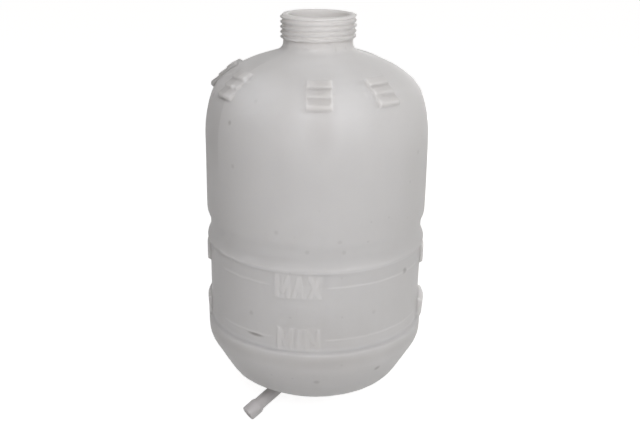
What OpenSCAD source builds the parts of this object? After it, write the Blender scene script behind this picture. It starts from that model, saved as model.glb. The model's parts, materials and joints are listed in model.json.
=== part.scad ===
// Coolant expansion tank, blown in one piece from natural polyethylene.
// Heights are measured up from the flat base. Azimuths are measured from the
// front of the tank, positive towards its right-hand side. The finished tank is
// lowered so that the middle of its strap channel is the origin.

/* [Body] */
// Radius of the plain main wall
wall_r = 72.9; // [65:0.1:85]
// Thickness of the blown wall
wall_t = 2.2; // [1.6:0.1:2.8]
// Height of the plain main wall
wall_h = 48.6; // [30:0.1:90]
// How far the foot band stands out from the main wall
foot_rise = 0.5; // [0.2:0.1:1.5]
// Height of the foot band
foot_h = 10.9; // [6:0.1:20]
// Height of the sloped step from the foot band in to the level panel
foot_step_h = 1.8; // [1:0.1:3]
// Radius of the rounding between the foot band and the cone below it
foot_round = 16; // [2:0.5:24]

/* [Base] */
// Height of the conical lower end
cone_h = 31.2; // [26:0.1:38]
// Slope of the conical lower end, from the vertical
cone_deg = 30.4; // [24:0.1:36]
// Radius of the rounding between the cone and the flat base
base_round = 17; // [10:0.5:20]

/* [Level panel, bead and groove] */
// How far the level panel lies inside the main wall
panel_depth = 1.6; // [1:0.1:2.5]
// Height from the foot band to the crest of the bead
panel_h = 57.7; // [55:0.1:70]
// How far the crest of the bead stands out from the main wall
bead_rise = 0.2; // [0:0.1:1]
// Height over which the wall swells from the panel to the bead
bead_under = 3.8; // [2.5:0.1:5]
// Height over which the wall falls from the bead to the groove
bead_over = 7.9; // [5:0.1:12]
// Depth of the groove inside the main wall
groove_depth = 2.2; // [1:0.1:3]
// Height of the floor of the groove
groove_floor = 4.5; // [2:0.1:8]
// Height over which the wall rises from the groove to the main wall
groove_over = 8; // [5:0.1:12]

/* [Shoulder] */
// Radius of the easy curve that starts the shoulder
shoulder_r1 = 79.4; // [60:0.1:95]
// Turn of the wall at the end of that curve
shoulder_turn1 = 19; // [15:0.5:24]
// Radius of the tight curve of the shoulder
shoulder_r2 = 26; // [20:0.5:32]
// Turn of the wall at the end of the tight curve
shoulder_turn2 = 50; // [45:0.5:54]
// Radius of the flat curve above it
shoulder_r3 = 64; // [50:0.5:70]
// Turn of the wall where the top of the shoulder runs straight
shoulder_turn3 = 71.7; // [68:0.1:75]

/* [Neck] */
// Radius of the plain neck under the thread
neck_r = 22.35; // [21:0.05:24]
// Radius of the filler bore
bore_r = 19.4; // [18:0.1:20]
// Radius of the hollow between the shoulder and the neck
neck_round = 6.4; // [4:0.1:9]
// Height of the neck above that hollow
neck_h = 17.7; // [16:0.1:22]
// Height of the plain neck under the thread
neck_plain_h = 2; // [1:0.1:4]
// Height of the ring where the neck widens to the thread root
neck_flare_h = 0.8; // [0.4:0.1:1.5]
// Radius of the thread root
root_r = 23.1; // [22.5:0.1:24]
// Radius of the thread crest
crest_r = 24.3; // [24.1:0.1:26]
// Pitch of the thread
thread_pitch = 3.18; // [2.8:0.01:3.4]
// Number of crests of the thread, one above the other
thread_crests = 5; // [3:1:5]
// Height of a thread turn at its root
thread_root_h = 2.4; // [1.8:0.1:2.6]
// Height of the flat land on a thread turn
thread_land_h = 0.64; // [0.3:0.02:1]
// Bevel round the outside of the rim
rim_bevel = 0.7; // [0.2:0.1:1.2]

/* [Outlet spigot] */
// Azimuth of the mould seam, in whose plane the spigot lies
seam_az = -56; // [-70:1:-50]
// Distance from the axis to where the spigot's own axis crosses the base
spigot_root = 8.2; // [6:0.1:14]
// Slope of the spigot below the horizontal
spigot_deg = 29; // [26:1:40]
// Length of the spigot from the base to its end
spigot_len = 53.4; // [45:0.1:65]
// Radius of the spigot's pipe
spigot_r = 4.5; // [4:0.1:5.5]
// Radius of the bore of the spigot
spigot_bore_r = 3.2; // [2.5:0.1:3.4]
// Radius of the bead that holds the hose
bulb_r = 5.6; // [5.6:0.1:7]
// Length of the full bead
bulb_len = 8.4; // [6:0.1:12]
// Length over which the pipe widens to the bead
bulb_taper = 2.4; // [1:0.1:4]
// Rounding at the end of the spigot
bulb_round = 1; // [0.3:0.1:1.5]

/* [Pads on the shoulder] */
// Azimuths of the stepped pads
step_pad_az = [-97, -57, 1.3, 40]; // [-180:0.1:180]
// Width of a stepped pad
step_pad_w = 15.7; // [10:0.1:20]
// Depth of one tread, measured outwards
tread_run = 5.3; // [5:0.1:6]
// Fall of one tread
tread_drop = 2.7; // [2.6:0.1:3.2]
// Height of one riser
riser_h = 2.3; // [2.2:0.1:2.8]
// Number of steps
step_count = 3; // [1:1:3]
// Distance from the axis to the top edge of the first tread
first_tread_r = 53.5; // [52:0.1:54]
// Height of that edge above the start of the shoulder
first_tread_h = 45.7; // [45:0.1:46]
// Length of the ramp that leads up to the first tread, measured outwards
pad_ramp_run = 2.4; // [2:0.1:4]
// Height of that ramp
pad_ramp_h = 1.7; // [1.2:0.1:2.5]

/* [Strap channel and side pads] */
// Height of the middle of the strap channel above the foot band
strap_h = 27.5; // [25:0.1:30]
// Height of the strap channel between the side pads
strap_w = 27; // [24:0.1:29]
// Azimuths of the two columns of side pads
side_pad_az = [89, -89]; // [-180:1:180]
// Half the width of a side pad, as a turn
side_pad_half = 10; // [7:0.5:14]
// Height of an upper side pad
upper_pad_h = 12; // [9:0.1:14]
// How far an upper side pad stands out from the panel
upper_pad_rise = 2.2; // [1.5:0.1:3]
// Height of a lower side pad
lower_pad_h = 13.5; // [10:0.1:15.5]
// How far the top of each lower side pad stands out from the panel
lower_pad_rise = [4.1, 2.6]; // [1.5:0.1:5]
// How far the bottom of each lower side pad stands out from the panel
lower_pad_foot = [3.1, 1.9]; // [1.5:0.1:5]

/* [Level lines] */
// Heights of the MIN and MAX lines above the foot band
level_h = [10.6, 46.3]; // [6:0.1:50]
// Height of a level line
level_line_h = 1.4; // [0.8:0.1:2]
// How far a level line stands out from the panel
level_line_rise = 0.5; // [0.3:0.1:1]
// Azimuths of the ends of the lines to the left of the level words
level_left = [-54, -21]; // [-90:0.1:-10]
// Azimuths of the ends of the lines to the right of the level words
level_right = [4.8, 68]; // [2:0.1:90]

/* [Hidden] */
$fn = 96;

// Number of chords in a short rounding and in a long curve
short_steps = 8;
long_steps = 14;
// How far a cutter or a root reaches past the face that it crosses
over = 1;

// Radii of the stepped wall
foot_r = wall_r + foot_rise;
panel_r = wall_r - panel_depth;
bead_r = wall_r + bead_rise;
groove_r = wall_r - groove_depth;

// Heights above the base
foot_top = cone_h + foot_h;
bead_z = foot_top + panel_h;
groove_z = bead_z + bead_over;
groove_top = groove_z + groove_floor;
shoulder_z = groove_top + groove_over + wall_h;
strap_z = foot_top + strap_h;

// How far above the base, along the spigot, its pipe lies wholly over the base
// plane, and its bore wholly inside the tank
spigot_start = spigot_r / tan(spigot_deg);
spigot_bore_start = (wall_t + spigot_r) / sin(spigot_deg);

// Distance from the axis to the centre of the base rounding: the rounding
// touches both the flat base and the cone
base_flat_r = (foot_r * cos(cone_deg) - cone_h * sin(cone_deg)
    - base_round * (1 - sin(cone_deg))) / cos(cone_deg);

// Centres of the three shoulder curves, each tangent to the one before it
function turned(deg) = [cos(deg), sin(deg)];
shoulder_c1 = [wall_r - shoulder_r1, shoulder_z];
shoulder_c2 = shoulder_c1 + (shoulder_r1 - shoulder_r2) * turned(shoulder_turn1);
shoulder_c3 = shoulder_c2 + (shoulder_r2 - shoulder_r3) * turned(shoulder_turn2);

// Centre of the hollow under a neck of the given radius, for a surface that
// lies the given depth inside the outer one
function neck_centre(end_r, depth) = let (
    hollow = neck_round + depth,
    top_normal = turned(shoulder_turn3),
    top_line = top_normal * shoulder_c3 + shoulder_r3 - depth,
    x = end_r + hollow
) [x, (top_line + hollow - top_normal[0] * x) / top_normal[1]];

neck_z = neck_centre(neck_r, 0)[1];
rim_z = neck_z + neck_h;

// Points of a curve about a centre, from one turn to another
function arc(centre, r, from, to, steps) =
    [for (i = [0:steps]) centre + r * turned(from + (to - from) * i / steps)];

// Points of a soft step from one radius and height to another
function soft_step(r0, z0, r1, z1, steps) =
    [for (i = [0:steps]) [r0 + (r1 - r0) * (1 - cos(180 * i / steps)) / 2,
        z0 + (z1 - z0) * i / steps]];

// Half section of the tank, at a depth inside its outer surface, from the
// middle of the base to a neck of radius end_r that ends at the height end_z
function half_section(depth, end_r, end_z) = concat(
    [[0, depth]],
    arc([base_flat_r, base_round], base_round - depth, -90, -cone_deg, short_steps),
    arc([foot_r - foot_round, cone_h + foot_round * tan(cone_deg / 2)],
        foot_round - depth, -cone_deg, 0, short_steps),
    [[foot_r - depth, foot_top],
        [panel_r - depth, foot_top + foot_step_h]],
    soft_step(panel_r - depth, bead_z - bead_under, bead_r - depth, bead_z, short_steps),
    soft_step(bead_r - depth, bead_z, groove_r - depth, groove_z, short_steps),
    soft_step(groove_r - depth, groove_top, wall_r - depth, groove_top + groove_over,
        short_steps),
    arc(shoulder_c1, shoulder_r1 - depth, 0, shoulder_turn1, short_steps),
    arc(shoulder_c2, shoulder_r2 - depth, shoulder_turn1, shoulder_turn2, short_steps),
    arc(shoulder_c3, shoulder_r3 - depth, shoulder_turn2, shoulder_turn3, short_steps),
    arc(neck_centre(end_r, depth), -(neck_round + depth), shoulder_turn3, 0, short_steps),
    [[end_r, end_z], [0, end_z]]
);

// Turns its children so that what points along +X points along the azimuth
module at_azimuth(az) {
    rotate([0, 0, az - 90]) children();
}

// Part of a ring between two azimuths
module ring_part(az0, az1, section) {
    at_azimuth(az0) rotate_extrude(angle = az1 - az0) polygon(section);
}

module body_skin(depth, end_r, end_z) {
    rotate_extrude() polygon(half_section(depth, end_r, end_z));
}

// Threaded part of the neck: closed rings at the pitch of the thread stand for
// its turns
module neck_finish() {
    thread_z = neck_z + neck_plain_h;
    half_root = thread_root_h / 2;
    half_land = thread_land_h / 2;
    top_crest_z = rim_z - rim_bevel - half_root;
    rotate_extrude() polygon([
        [bore_r - wall_t / 2, thread_z],
        [neck_r, thread_z],
        [root_r, thread_z + neck_flare_h],
        [root_r, rim_z - rim_bevel],
        [root_r - rim_bevel, rim_z],
        [bore_r - wall_t / 2, rim_z]
    ]);
    for (i = [0:thread_crests - 1])
        translate([0, 0, top_crest_z - i * thread_pitch]) rotate_extrude() polygon([
            [root_r - over, -half_root],
            [root_r, -half_root],
            [crest_r, -half_land],
            [crest_r, half_land],
            [root_r, half_root],
            [root_r - over, half_root]
        ]);
}

// One stepped pad on the shoulder: a ramp up, then treads and risers
module step_pad() {
    first = [first_tread_r, shoulder_z + first_tread_h];
    tread = [tread_run, -tread_drop];
    riser = [0, -riser_h];
    last = first + step_count * (tread + riser);
    foot = first - [pad_ramp_run, pad_ramp_h];
    section = concat(
        [foot, first],
        [for (i = [0:step_count - 1]) each [first + i * (tread + riser) + tread,
            first + (i + 1) * (tread + riser)]],
        [[foot[0], last[1]]]
    );
    translate([0, step_pad_w / 2, 0]) rotate([90, 0, 0])
        linear_extrude(step_pad_w) polygon(section);
}

// One side pad, at a depth inside its outer faces
module side_pad(az, z0, z1, low_r, high_r, depth) {
    half = side_pad_half - depth / panel_r * 180 / PI;
    inside_r = panel_r - wall_t - over;
    ring_part(az - half, az + half, [
        [inside_r, z0 + depth],
        [low_r - depth, z0 + depth],
        [high_r - depth, z1 - depth],
        [inside_r, z1 - depth]
    ]);
}

// The upper and lower pads of both columns, which keep the strap in its channel
module side_pads(depth) {
    upper_z = strap_z + strap_w / 2;
    lower_z = strap_z - strap_w / 2;
    upper_r = panel_r + upper_pad_rise;
    for (i = [0:len(side_pad_az) - 1]) {
        side_pad(side_pad_az[i], upper_z, upper_z + upper_pad_h, upper_r, upper_r, depth);
        side_pad(side_pad_az[i], lower_z - lower_pad_h, lower_z,
            panel_r + lower_pad_foot[i], panel_r + lower_pad_rise[i], depth);
    }
}

module level_lines() {
    for (h = level_h, span = [level_left, level_right])
        ring_part(span[0], span[1], [
            [panel_r - wall_t / 2, foot_top + h - level_line_h / 2],
            [panel_r, foot_top + h - level_line_h / 2],
            [panel_r + level_line_rise, foot_top + h],
            [panel_r, foot_top + h + level_line_h / 2],
            [panel_r - wall_t / 2, foot_top + h + level_line_h / 2]
        ]);
}

// Places its children with +Z down the axis of the spigot, from the base
module along_spigot() {
    at_azimuth(seam_az) translate([spigot_root, 0, 0])
        rotate([0, 90 + spigot_deg, 0]) children();
}

module spigot() {
    bulb_z = spigot_len - bulb_len;
    along_spigot() rotate_extrude() polygon(concat(
        [[0, -spigot_start], [spigot_r, -spigot_start]],
        soft_step(spigot_r, bulb_z - bulb_taper, bulb_r, bulb_z, short_steps),
        arc([bulb_r - bulb_round, spigot_len - bulb_round], bulb_round, 0, 90, short_steps),
        [[0, spigot_len]]
    ));
}

module spigot_bore() {
    along_spigot() translate([0, 0, -spigot_bore_start])
        cylinder(r = spigot_bore_r, h = spigot_bore_start + spigot_len + over);
}

module tank() {
    color("#dddbd6") translate([0, 0, -strap_z]) difference() {
        union() {
            body_skin(0, neck_r, rim_z);
            neck_finish();
            for (az = step_pad_az) at_azimuth(az) step_pad();
            side_pads(0);
            level_lines();
            spigot();
        }
        body_skin(wall_t, bore_r, rim_z + over);
        side_pads(wall_t);
        spigot_bore();
    }
}

tank();
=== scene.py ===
"""Round coolant expansion tank, blown in one piece from milky polyethylene.

Sizes are in millimetres and heights are measured up from the flat base, until
a mesh is made: only there do they become metres in the part's own frame.
Azimuths are in degrees from the front of the tank, positive to its right.
"""

import json
import logging
import math
from dataclasses import dataclass, field
from enum import Enum
import bpy
import numpy as np
from mathutils import Matrix, Vector


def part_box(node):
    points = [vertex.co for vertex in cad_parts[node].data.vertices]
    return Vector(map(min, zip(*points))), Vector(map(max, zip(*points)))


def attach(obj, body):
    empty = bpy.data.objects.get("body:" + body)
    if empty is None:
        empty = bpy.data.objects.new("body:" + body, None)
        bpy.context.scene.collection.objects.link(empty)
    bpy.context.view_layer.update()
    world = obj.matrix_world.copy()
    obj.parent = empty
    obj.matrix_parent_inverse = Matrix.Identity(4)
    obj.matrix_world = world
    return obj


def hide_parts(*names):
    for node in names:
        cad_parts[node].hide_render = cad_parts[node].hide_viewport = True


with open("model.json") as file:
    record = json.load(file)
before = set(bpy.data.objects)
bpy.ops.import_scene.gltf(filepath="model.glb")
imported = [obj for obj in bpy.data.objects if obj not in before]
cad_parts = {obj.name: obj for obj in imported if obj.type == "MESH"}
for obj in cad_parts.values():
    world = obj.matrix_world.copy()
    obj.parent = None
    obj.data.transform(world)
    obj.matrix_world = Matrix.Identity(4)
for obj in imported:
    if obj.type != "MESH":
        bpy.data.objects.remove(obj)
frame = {"record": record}

LOG = logging.getLogger("expansion_tank")
MM = 0.001
NODE = "tank"
WALL_MAP = "wall_map"
CALM_NORMAL = "calm_normal"
# Mesh attribute of the painted shade and painted light on the reliefs
PAINTED_RELIEF_SHADING = "relief_tone"
NUMBER = "NodeSocketFloat"
VECTOR = "NodeSocketVector"
WHITE = (1.0, 1.0, 1.0, 1.0)
# Shortest distance in millimetres between two points of a line
TINY = 1e-9
# Number of azimuths at which the density of the columns is worked out
AZ_SAMPLES = 14401
# Height in millimetres from which a pad counts as fully raised
RAISED = 1.5
# Depth of the moulded grain in metres
GRAIN_HEIGHT = 0.0006
# Calm normals of the outer and the inner pole
POLE_CALM = [[0.0, 0.0, -1.0], [0.0, 0.0, 0.0]]

Array = np.ndarray
Socket = bpy.types.NodeSocket


def arc(centre: tuple[float, float], radius: float, start: float, end: float, count: int = 24) -> Array:
    """Points on a circle: centre plus radius times (cos, sin) of the turn.

    Args:
        centre: Distance from the axis and height of the centre.
        radius: Radius, negative for a hollow.
        start: First turn in degrees.
        end: Last turn in degrees.
        count: Number of points.

    Returns:
        An array of (distance, height) rows.
    """
    turn = np.radians(np.linspace(start, end, count))
    return np.stack([centre[0] + radius * np.cos(turn), centre[1] + radius * np.sin(turn)], axis=1)


def soft_step(start: tuple[float, float], end: tuple[float, float], count: int = 16) -> Array:
    """Points of a half cosine wave from one (distance, height) to another.

    Args:
        start: First (distance, height).
        end: Last one.
        count: Number of points.

    Returns:
        (distance, height) rows.
    """
    share = np.linspace(0.0, 1.0, count)
    swell = (1.0 - np.cos(np.pi * share)) / 2.0
    return np.stack([start[0] + (end[0] - start[0]) * swell, start[1] + (end[1] - start[1]) * share], axis=1)


def ramp(value: Array, low: float, high: float) -> Array:
    """Smooth step from 0 at low to 1 at high: 3t^2 - 2t^3 of the clamped share t."""
    share = np.clip((value - low) / (high - low), 0.0, 1.0)
    return share * share * (3.0 - 2.0 * share)


def soft_box(value: Array, half: float, edge: float) -> Array:
    """1 where |value| is under half, falling to 0 over a soft edge centred on half."""
    return 1.0 - ramp(np.abs(value), half - edge / 2.0, half + edge / 2.0)


def wrapped(turn: Array) -> Array:
    """Turns in degrees brought between -180 and 180."""
    return (turn + 180.0) % 360.0 - 180.0


def lengths_of(line: Array) -> Array:
    """Length of a line of straight pieces from its start to each of its points."""
    return np.concatenate([[0.0], np.cumsum(np.hypot(*np.diff(line, axis=0).T))])


def normals_of(line: Array) -> Array:
    """Unit normals on the right of a line: (dy, -dx) of its slope, made one long.

    Args:
        line: Points along the line.

    Returns:
        One normal for each point.
    """
    slope = np.gradient(line, axis=0)
    slope /= np.hypot(*slope.T)[:, None]
    return np.stack([slope[:, 1], -slope[:, 0]], axis=1)


def nearest(points: Array, line: Array) -> Array:
    """Number of the line's point that lies nearest to each of the given points."""
    apart = points[:, None] - line[None, :]
    return np.argmin(np.hypot(apart[..., 0], apart[..., 1]), axis=1)


def by_length(line: Array, step: float) -> Array:
    """Points spread evenly along a line of straight pieces, about step apart.

    Args:
        line: Its corners.
        step: Distance between the new points.

    Returns:
        The new points.
    """
    lengths = np.hypot(*np.diff(line, axis=0).T)
    line = line[np.concatenate([[True], lengths > TINY])]
    along = lengths_of(line)
    places = np.linspace(0.0, along[-1], int(along[-1] / step) + 1)
    return np.stack([np.interp(places, along, line[:, k]) for k in range(2)], axis=1)


def bell_weights(reach: float, step: float, width: int) -> Array:
    """Weights that add up to 1 and follow exp(-d^2 / (2 reach^2)), where d is a whole number of steps."""
    weights = np.exp(-0.5 * (np.arange(-width, width + 1) * step / reach) ** 2)
    return weights / weights.sum()


def eased(line: Array, step: float, reach: float) -> Array:
    """Rounds the corners of an even line with a bell-shaped running mean.

    Args:
        line: Points a fixed step apart.
        step: That distance.
        reach: Standard deviation of the bell, in millimetres.

    Returns:
        As many points, with both ends where they were.
    """
    width = int(4 * reach / step)
    bell = bell_weights(reach, step, width)
    before = 2 * line[0] - line[width:0:-1]
    after = 2 * line[-1] - line[-2:-width - 2:-1]
    padded = np.concatenate([before, line, after])
    return np.stack([np.convolve(padded[:, k], bell, mode="valid") for k in range(2)], axis=1)


def middles(places: Array) -> Array:
    """Middle between each place and the next."""
    return (places[1:] + places[:-1]) / 2.0


def spread(density: Array, along: Array) -> Array:
    """Places along a line, as many per millimetre or degree as the density says.

    The running sum of the density is cut into equal shares.

    Args:
        density: How many places there are to a unit, at each of the lengths.
        along: Those lengths.

    Returns:
        The new places.
    """
    steps = np.diff(along) * middles(density)
    total = np.concatenate([[0.0], np.cumsum(steps)])
    return np.interp(np.linspace(0.0, total[-1], max(3, int(math.ceil(total[-1])) + 1)), total, along)


def ring_quads(rows: int, cols: int, closed: bool = False) -> Array:
    """Faces between neighbouring rings of a grid whose columns close on themselves.

    Args:
        rows: Number of rings.
        cols: Number of points in each ring.
        closed: Whether the last ring is joined to the first.

    Returns:
        Rows of four corner numbers.
    """
    low = np.arange(rows if closed else rows - 1)[:, None]
    high = (low + 1) % rows * cols
    low = low * cols
    here = np.arange(cols)[None, :]
    there = (here + 1) % cols
    return np.stack([low + here, low + there, high + there, high + here], axis=-1).reshape(-1, 4)


def in_scene(name: str, data: bpy.types.ID) -> bpy.types.Object:
    """Makes an object of a mesh, a lamp or a camera, and adds it to the scene.

    Args:
        name: Its name.
        data: The mesh, lamp or camera.

    Returns:
        The object.
    """
    item = bpy.data.objects.new(name, data)
    bpy.context.scene.collection.objects.link(item)
    return item


@dataclass
class Skin:
    """A closed surface under construction, as whole arrays.

    Attributes:
        points: Corner places in metres, in the part's frame.
        quads: Corner numbers of the four-sided faces.
        triangles: Corner numbers of the three-sided faces.
        quad_uv: Map places of the quads' corners, if the skin has a map.
        triangle_uv: Map places of the triangles' corners.
        calm: Normal of the wall without its small reliefs, at each point.
        tone: Painted shade there, or painted light if negative.
    """

    points: Array
    quads: Array
    triangles: Array = field(default_factory=lambda: np.zeros((0, 3), int))
    quad_uv: Array | None = None
    triangle_uv: Array | None = None
    calm: Array | None = None
    tone: Array | None = None

    def volume(self) -> float:
        """Signed volume: the sum of a . (b x c) / 6 over all triangles.

        Returns:
            The volume in cubic metres.
        """
        tris = np.concatenate([self.quads[:, [0, 1, 2]], self.quads[:, [0, 2, 3]], self.triangles])
        a, b, c = (self.points[tris[:, k]] for k in range(3))
        return float(np.einsum("ij,ij->", a, np.cross(b, c)) / 6.0)

    def face_outwards(self) -> None:
        """Turns every face if the volume is negative."""
        if self.volume() < 0.0:
            self.quads = self.quads[:, ::-1]
            self.triangles = self.triangles[:, ::-1]
            if self.quad_uv is not None:
                self.quad_uv = self.quad_uv[:, ::-1]
                self.triangle_uv = self.triangle_uv[:, ::-1]

    def to_object(self, name: str) -> bpy.types.Object:
        """Makes a smooth-shaded mesh object at the origin.

        Args:
            name: Name of the object and of its mesh.

        Returns:
            The object.
        """
        self.face_outwards()
        mesh = bpy.data.meshes.new(name)
        mesh.from_pydata(self.points.tolist(), [], self.quads.tolist() + self.triangles.tolist())
        if self.quad_uv is not None:
            flat = np.concatenate([self.quad_uv.reshape(-1, 2), self.triangle_uv.reshape(-1, 2)])
            mesh.uv_layers.new(name=WALL_MAP).data.foreach_set("uv", flat.astype(np.float32).ravel())
        for label, kind, key, values in ((CALM_NORMAL, "FLOAT_VECTOR", "vector", self.calm),
                                         (PAINTED_RELIEF_SHADING, "FLOAT", "value", self.tone)):
            if values is not None:
                layer = mesh.attributes.new(label, kind, "POINT")
                layer.data.foreach_set(key, values.astype(np.float32).ravel())
        mesh.polygons.foreach_set("use_smooth", np.ones(len(mesh.polygons), bool))
        mesh.update()
        return in_scene(name, mesh)


@dataclass
class HalfSection:
    """Half section of the blown wall, with the same sizes as the solid model."""

    wall_r: float = 72.9
    wall_t: float = 2.2
    wall_h: float = 48.6
    foot_rise: float = 0.5
    foot_h: float = 10.9
    foot_step_h: float = 1.8
    foot_round: float = 16.0
    cone_h: float = 31.2
    cone_deg: float = 30.4
    base_round: float = 17.0
    panel_depth: float = 1.6
    panel_h: float = 57.7
    bead_rise: float = 0.2
    bead_under: float = 3.8
    bead_over: float = 7.9
    groove_depth: float = 2.2
    groove_floor: float = 4.5
    groove_over: float = 8.0
    shoulder_r: tuple[float, float, float] = (79.4, 26.0, 64.0)
    shoulder_turn: tuple[float, float, float] = (19.0, 50.0, 71.7)
    neck_r: float = 22.35
    bore_r: float = 19.4
    neck_round: float = 6.4
    neck_h: float = 17.7
    neck_plain_h: float = 2.0
    neck_flare_h: float = 0.8
    root_r: float = 23.1
    rim_bevel: float = 0.7

    def __post_init__(self) -> None:
        """Works out the radii and heights that follow from the driving sizes."""
        self.foot_r = self.wall_r + self.foot_rise
        self.panel_r = self.wall_r - self.panel_depth
        self.foot_top = self.cone_h + self.foot_h
        self.bead_z = self.foot_top + self.panel_h
        self.groove_z = self.bead_z + self.bead_over
        self.groove_top = self.groove_z + self.groove_floor
        self.shoulder_z = self.groove_top + self.groove_over + self.wall_h
        cos_cone = math.cos(math.radians(self.cone_deg))
        sin_cone = math.sin(math.radians(self.cone_deg))
        self.base_flat_r = (self.foot_r * cos_cone - self.cone_h * sin_cone
                            - self.base_round * (1.0 - sin_cone)) / cos_cone
        self.neck_z = self.hollow_centre(self.neck_r, 0.0)[1]
        self.rim_z = self.neck_z + self.neck_h

    def shoulder_centres(self) -> list[Array]:
        """Centres of the shoulder's curves, each tangent to the one before it.

        Returns:
            (distance, height) of each centre, from below.
        """
        r1, r2, r3 = self.shoulder_r
        t1, t2 = np.radians(self.shoulder_turn[:2])
        first = np.array([self.wall_r - r1, self.shoulder_z])
        second = first + (r1 - r2) * np.array([math.cos(t1), math.sin(t1)])
        third = second + (r2 - r3) * np.array([math.cos(t2), math.sin(t2)])
        return [first, second, third]

    def hollow_centre(self, end_r: float, depth: float) -> tuple[float, float]:
        """Centre of the hollow under the neck, tangent to the shoulder's straight top.

        Args:
            end_r: Radius at which the hollow ends.
            depth: How far the line lies inside the outer surface.

        Returns:
            (distance, height) of the centre.
        """
        hollow = self.neck_round + depth
        turn = math.radians(self.shoulder_turn[2])
        normal = np.array([math.cos(turn), math.sin(turn)])
        top_line = float(normal @ self.shoulder_centres()[2]) + self.shoulder_r[2] - depth
        x = end_r + hollow
        return x, (top_line + hollow - normal[0] * x) / normal[1]

    def wall_line(self, depth: float, end_r: float) -> Array:
        """Line from the middle of the base to the start of the neck.

        Args:
            depth: How far the line lies inside the outer surface.
            end_r: Radius at which it ends.

        Returns:
            (distance, height) rows, from the base upwards.
        """
        c1, c2, c3 = self.shoulder_centres()
        r1, r2, r3 = (r - depth for r in self.shoulder_r)
        t1, t2, t3 = self.shoulder_turn
        lean = math.tan(math.radians(self.cone_deg / 2.0))
        return np.concatenate([
            [[0.0, depth]],
            arc((self.base_flat_r, self.base_round), self.base_round - depth, -90.0, -self.cone_deg),
            arc((self.foot_r - self.foot_round, self.cone_h + self.foot_round * lean),
                self.foot_round - depth, -self.cone_deg, 0.0),
            [[self.foot_r - depth, self.foot_top],
             [self.panel_r - depth, self.foot_top + self.foot_step_h]],
            soft_step((self.panel_r - depth, self.bead_z - self.bead_under),
                      (self.wall_r + self.bead_rise - depth, self.bead_z)),
            soft_step((self.wall_r + self.bead_rise - depth, self.bead_z),
                      (self.wall_r - self.groove_depth - depth, self.groove_z)),
            soft_step((self.wall_r - self.groove_depth - depth, self.groove_top),
                      (self.wall_r - depth, self.groove_top + self.groove_over)),
            arc(c1, r1, 0.0, t1),
            arc(c2, r2, t1, t2),
            arc(c3, r3, t2, t3),
            arc(self.hollow_centre(end_r, depth), -(self.neck_round + depth), t3, 0.0),
        ])

    def closed_line(self) -> tuple[Array, int]:
        """Outer line, rim and inner line in one, from pole to pole.

        Returns:
            The line, and the number of its points that lie on the outside.
        """
        flare_z = self.neck_z + self.neck_plain_h
        outside = np.concatenate([self.wall_line(0.0, self.neck_r), [
            [self.neck_r, flare_z],
            [self.root_r, flare_z + self.neck_flare_h],
            [self.root_r, self.rim_z - self.rim_bevel],
            [self.root_r - self.rim_bevel, self.rim_z]]])
        inside = self.wall_line(self.wall_t, self.bore_r)[::-1]
        rim_edge = [[self.bore_r + self.rim_bevel / 2.0, self.rim_z],
                    [self.bore_r, self.rim_z - self.rim_bevel / 2.0]]
        return np.concatenate([outside, rim_edge, inside]), len(outside)


@dataclass
class WallPoints:
    """Places on the wall.

    Attributes:
        az: Azimuths in degrees.
        own: Lengths along the closed line, from the outer pole.
        along: The same on the outside, and inside the lengths of the outer wall across from there.
        radius: Distances from the axis.
        z: Heights.
        outside: Whether they lie on the outside.
    """

    az: Array
    own: Array
    along: Array
    radius: Array
    z: Array
    outside: Array

    def across(self, az: float) -> Array:
        """Distance round the wall from a given azimuth."""
        return np.radians(wrapped(self.az - az)) * self.radius

    def turned(self, out: Array, up: Array) -> Array:
        """Vectors (out sin a, -out cos a, up), where a is the azimuth of each place."""
        turn = np.radians(self.az)
        return np.stack([out * np.sin(turn), -out * np.cos(turn), up], axis=-1)


@dataclass
class ScrewThread:
    """Right-hand thread on the neck, as a lift of the neck's surface."""

    section: HalfSection
    crest_r: float = 24.3
    pitch: float = 3.18
    root_h: float = 2.5
    land_h: float = 0.5
    top_crest_drop: float = 2.1
    top_crest_az: float = -83.0
    last_turn: float = 0.52
    turns: float = 4.85
    fade_turn: float = 0.10
    start_h: tuple[float, float] = (1.6, 2.4)

    def lift(self, points: WallPoints) -> Array:
        """Height of the thread above its root.

        The nearest crest to a point lies a whole number of pitches from the
        helix z = z0 + pitch * az / 360. The lift is a soft trapezoid of the
        distance to that crest, and it fades out at both ends of the thread.

        Args:
            points: Places on the neck.

        Returns:
            The lift in millimetres.
        """
        turned = (points.az - self.top_crest_az) / 360.0
        helix = self.section.rim_z - self.top_crest_drop + self.pitch * turned
        number = np.round((points.z - helix) / self.pitch)
        distance = np.abs(points.z - helix - number * self.pitch)
        shape = 1.0 - ramp(distance, self.land_h / 2.0, self.root_h / 2.0)
        turn = number + turned
        first = self.last_turn - self.turns
        fade = ramp(turn, first, first + self.fade_turn)
        fade = fade * (1.0 - ramp(turn, self.last_turn, self.last_turn + self.fade_turn))
        above = ramp(points.z - self.section.neck_z, *self.start_h)
        return (self.crest_r - self.section.root_r) * shape * fade * above


@dataclass
class WallWaves:
    """Slow unevenness of a blown wall.

    Attributes:
        height: Height of the strongest wave.
        inwards: How far all waves are shifted inwards, as a share of that height.
        pole_fade: Distances from the axis between which they grow.
        waves: Share of the height, number of waves round the wall, their reach up it, and their start.
    """

    height: float = 0.10
    inwards: float = 0.3
    pole_fade: tuple[float, float] = (6.0, 40.0)
    waves: tuple[tuple[float, float, float, float], ...] = (
        (1.0, 3.0, 31.0, 0.0), (0.7, 5.0, -19.0, 1.3), (0.5, 8.0, 12.0, 2.1))

    def lift(self, points: WallPoints) -> Array:
        """Sum of share times sin(number times azimuth + z / reach + start), which fades out near the axis.

        Args:
            points: Places on the wall.

        Returns:
            The lift in millimetres.
        """
        turn = np.radians(points.az)
        total = sum(share * np.sin(number * turn + points.z / reach + start)
                    for share, number, reach, start in self.waves)
        return self.height * (total - self.inwards) * ramp(points.radius, *self.pole_fade)


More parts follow.
